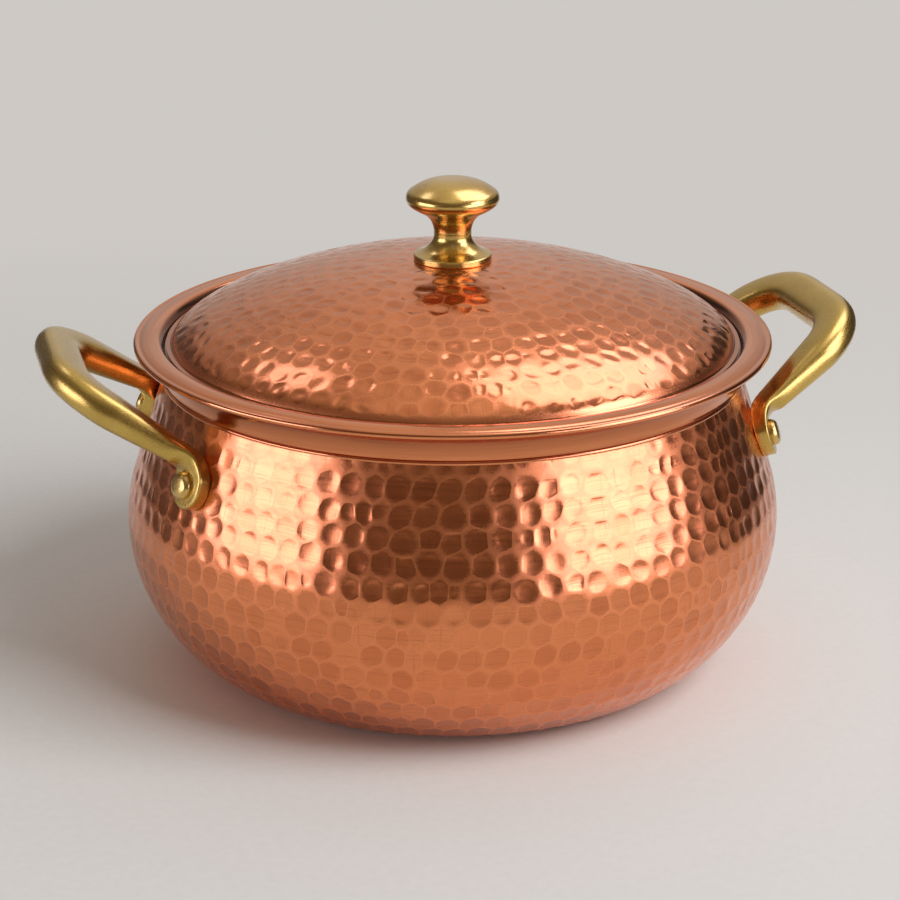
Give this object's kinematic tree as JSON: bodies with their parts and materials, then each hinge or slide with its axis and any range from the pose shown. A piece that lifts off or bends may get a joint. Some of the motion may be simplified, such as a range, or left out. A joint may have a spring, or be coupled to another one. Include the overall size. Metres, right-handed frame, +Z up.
{
  "type": "covered cooking pot",
  "caption": "Round-bellied hammered cooking pot with a flared rim, a domed lid that lifts off by its turned knob, and cast loop handles riveted to the shoulder.",
  "frame": {"origin": "centre of the pot's base, on the surface it stands on", "axes": "+Z up along the pot's axis, handles along X, front towards -Y"},
  "size_m": [0.3374, 0.2704, 0.1998],
  "materials": {
    "copper": "hammered copper, satin polished",
    "brass": "satin polished brass",
    "steel": "plain steel"
  },
  "bodies": {
    "pot": {"pot_body": "copper", "handle_left": "brass", "handle_right": "brass", "left_front_rivet": "brass", "left_rear_rivet": "brass", "right_front_rivet": "brass", "right_rear_rivet": "brass"},
    "lid": {"lid_shell": "copper", "knob_base": "brass", "knob_cap": "brass", "knob_washer": "steel", "knob_screw": "steel"}
  },
  "joints": [
    {"name": "lid_lift", "type": "slide", "parent": "pot", "child": "lid", "axis": [0, 0, 1], "range_m": [0, 0.12]}
  ]
}
